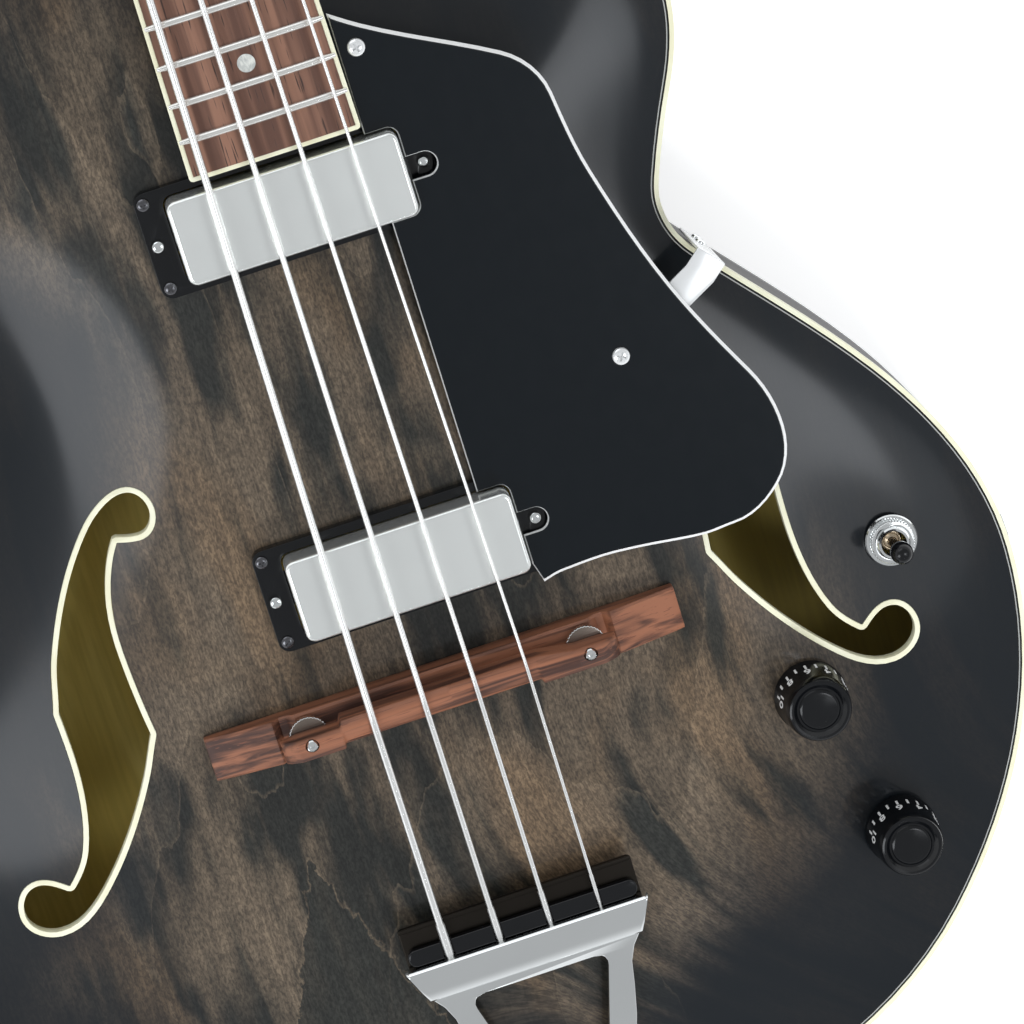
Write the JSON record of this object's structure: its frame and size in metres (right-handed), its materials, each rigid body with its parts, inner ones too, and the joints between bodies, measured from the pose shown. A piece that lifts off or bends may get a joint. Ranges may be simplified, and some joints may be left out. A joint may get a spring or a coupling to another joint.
{
  "type": "electric bass guitar",
  "caption": "Hollow-body electric bass guitar with arched top, f-holes, cutaway, two pickups, floating bridge and trapeze tailpiece.",
  "frame": {"origin": "flat crown of the arched back, on the centre line below the line where the strings leave the saddle", "axes": "+Z out of the front of the instrument, which lies on its back; +Y towards the headstock; +X towards the thinnest string and the cutaway"},
  "size_m": [0.4058, 1.1254, 0.0943],
  "materials": {
    "top_lacquer": "brown transparent lacquer shaded to near black at the edges, gloss",
    "rim_lacquer": "dark lacquer over maple, gloss",
    "cream_binding": "aged cream binding",
    "bare_wood": "unfinished inside",
    "rosewood": "oiled, with nickel silver frets",
    "bridge_wood": "oiled reddish rosewood",
    "black_plastic": "gloss black",
    "chrome": "polished",
    "nickel": "nickel plated",
    "bone": "polished bone"
  },
  "bodies": {
    "body": {"top_plate": "top_lacquer", "back_plate": "top_lacquer", "rim": "rim_lacquer", "neck": "rim_lacquer", "top_binding": "cream_binding", "f_hole_binding_bass": "cream_binding", "f_hole_binding_treble": "cream_binding", "fretboard_binding": "cream_binding", "top_lining": "bare_wood", "back_lining": "bare_wood", "neck_block": "bare_wood", "tail_block": "bare_wood", "tone_bar_bass": "bare_wood", "tone_bar_treble": "bare_wood", "fretboard": "rosewood", "bridge_base": "bridge_wood", "neck_pickup_ring": "black_plastic", "bridge_pickup_ring": "black_plastic", "pickguard": "black_plastic", "pickguard_bracket": "chrome", "tailpiece": "chrome", "tail_bracket": "chrome", "end_strap_button": "chrome", "shoulder_strap_button": "chrome", "output_jack": "chrome", "tuner_plate_1": "chrome", "tuner_plate_2": "chrome", "tuner_plate_3": "chrome", "tuner_plate_4": "chrome", "truss_rod": "nickel", "string_e": "nickel", "string_a": "nickel", "string_d": "nickel", "string_g": "nickel", "volume_potentiometer": "nickel", "tone_potentiometer": "nickel", "switch_body": "nickel", "nut": "bone"},
    "volume_knob": {"volume_knob": "black_plastic"},
    "tone_knob": {"tone_knob": "black_plastic"},
    "switch_lever": {"switch_lever": "black_plastic"},
    "bridge_saddle": {"bridge_saddle": "bridge_wood"},
    "thumbwheel_bass": {"thumbwheel_bass": "chrome"},
    "thumbwheel_treble": {"thumbwheel_treble": "chrome"},
    "neck_pickup": {"neck_pickup_cover": "chrome", "neck_pickup_coil": "nickel"},
    "bridge_pickup": {"bridge_pickup_cover": "chrome", "bridge_pickup_coil": "nickel"},
    "neck_height_screw_bass": {"neck_height_screw_bass": "chrome"},
    "neck_height_screw_treble": {"neck_height_screw_treble": "chrome"},
    "bridge_height_screw_bass": {"bridge_height_screw_bass": "chrome"},
    "bridge_height_screw_treble": {"bridge_height_screw_treble": "chrome"},
    "tuner_post_1": {"tuner_post_1": "chrome"},
    "tuner_key_1": {"tuner_key_1": "chrome"},
    "tuner_post_2": {"tuner_post_2": "chrome"},
    "tuner_key_2": {"tuner_key_2": "chrome"},
    "tuner_post_3": {"tuner_post_3": "chrome"},
    "tuner_key_3": {"tuner_key_3": "chrome"},
    "tuner_post_4": {"tuner_post_4": "chrome"},
    "tuner_key_4": {"tuner_key_4": "chrome"}
  },
  "joints": [
    {"name": "volume_turn", "type": "hinge", "parent": "body", "child": "volume_knob", "pos_m": [0.1184, -0.0502, 0.066], "axis": [0, 0, 1], "range_deg": [-150, 150]},
    {"name": "tone_turn", "type": "hinge", "parent": "body", "child": "tone_knob", "pos_m": [0.1364, -0.1103, 0.06], "axis": [0, 0, 1], "range_deg": [-150, 150]},
    {"name": "pickup_switch_throw", "type": "hinge", "parent": "body", "child": "switch_lever", "pos_m": [0.1611, -0.0083, 0.05611], "axis": [1, 0, 0], "range_deg": [-12, 12]},
    {"name": "saddle_height", "type": "slide", "parent": "body", "child": "bridge_saddle", "axis": [0, 0, 1], "range_m": [-0.001, 0]},
    {"name": "thumbwheel_bass_turn", "type": "hinge", "parent": "bridge_saddle", "child": "thumbwheel_bass", "pos_m": [-0.049, -0.003, 0.0792], "axis": [0, 0, 1], "range_deg": [-520, 10]},
    {"name": "thumbwheel_treble_turn", "type": "hinge", "parent": "bridge_saddle", "child": "thumbwheel_treble", "pos_m": [0.049, -0.003, 0.0792], "axis": [0, 0, 1], "range_deg": [-520, 10]},
    {"name": "neck_pickup_height", "type": "slide", "parent": "body", "child": "neck_pickup", "axis": [0, 0, 1], "range_m": [-0.0015, 0.0015]},
    {"name": "neck_height_screw_bass_turn", "type": "hinge", "parent": "body", "child": "neck_height_screw_bass", "pos_m": [-0.0458, 0.1698, 0.06874], "axis": [0, 0, 1], "range_deg": [-1085, 1085]},
    {"name": "neck_height_screw_treble_turn", "type": "hinge", "parent": "body", "child": "neck_height_screw_treble", "pos_m": [0.0458, 0.1698, 0.06874], "axis": [0, 0, 1], "range_deg": [-1085, 1085]},
    {"name": "bridge_pickup_height", "type": "slide", "parent": "body", "child": "bridge_pickup", "axis": [0, 0, 1], "range_m": [-0.0015, 0.0015]},
    {"name": "bridge_height_screw_bass_turn", "type": "hinge", "parent": "body", "child": "bridge_height_screw_bass", "pos_m": [-0.0458, 0.043, 0.0715], "axis": [0, 0, 1], "range_deg": [-1085, 1085]},
    {"name": "bridge_height_screw_treble_turn", "type": "hinge", "parent": "body", "child": "bridge_height_screw_treble", "pos_m": [0.0458, 0.043, 0.0715], "axis": [0, 0, 1], "range_deg": [-1085, 1085]},
    {"name": "tuner_key_1_turn", "type": "hinge", "parent": "body", "child": "tuner_key_1", "pos_m": [-0.021, 0.76286, 0.03066], "axis": [1, 0, 0], "continuous": true},
    {"name": "tuner_post_1_turn", "type": "hinge", "parent": "body", "child": "tuner_post_1", "pos_m": [-0.021, 0.77789, 0.04734], "axis": [0, 0.2045, 0.9789], "continuous": true},
    {"name": "tuner_key_2_turn", "type": "hinge", "parent": "body", "child": "tuner_key_2", "pos_m": [-0.021, 0.83138, 0.01635], "axis": [1, 0, 0], "continuous": true},
    {"name": "tuner_post_2_turn", "type": "hinge", "parent": "body", "child": "tuner_post_2", "pos_m": [-0.021, 0.84641, 0.03303], "axis": [0, 0.2045, 0.9789], "continuous": true},
    {"name": "tuner_key_3_turn", "type": "hinge", "parent": "body", "child": "tuner_key_3", "pos_m": [0.021, 0.76286, 0.03066], "axis": [1, 0, 0], "continuous": true},
    {"name": "tuner_post_3_turn", "type": "hinge", "parent": "body", "child": "tuner_post_3", "pos_m": [0.021, 0.77789, 0.04734], "axis": [0, 0.2045, 0.9789], "continuous": true},
    {"name": "tuner_key_4_turn", "type": "hinge", "parent": "body", "child": "tuner_key_4", "pos_m": [0.021, 0.83138, 0.01635], "axis": [1, 0, 0], "continuous": true},
    {"name": "tuner_post_4_turn", "type": "hinge", "parent": "body", "child": "tuner_post_4", "pos_m": [0.021, 0.84641, 0.03303], "axis": [0, 0.2045, 0.9789], "continuous": true}
  ],
  "couplings": [
    {"joint": "thumbwheel_bass_turn", "follows": "saddle_height", "rad_per_m": 8976},
    {"joint": "thumbwheel_treble_turn", "follows": "saddle_height", "rad_per_m": 8976},
    {"joint": "neck_height_screw_bass_turn", "follows": "neck_pickup_height", "rad_per_m": -12566},
    {"joint": "neck_height_screw_treble_turn", "follows": "neck_pickup_height", "rad_per_m": -12566},
    {"joint": "bridge_height_screw_bass_turn", "follows": "bridge_pickup_height", "rad_per_m": -12566},
    {"joint": "bridge_height_screw_treble_turn", "follows": "bridge_pickup_height", "rad_per_m": -12566},
    {"joint": "tuner_post_1_turn", "follows": "tuner_key_1_turn", "ratio": 0.05},
    {"joint": "tuner_post_2_turn", "follows": "tuner_key_2_turn", "ratio": 0.05},
    {"joint": "tuner_post_3_turn", "follows": "tuner_key_3_turn", "ratio": -0.05},
    {"joint": "tuner_post_4_turn", "follows": "tuner_key_4_turn", "ratio": -0.05}
  ]
}
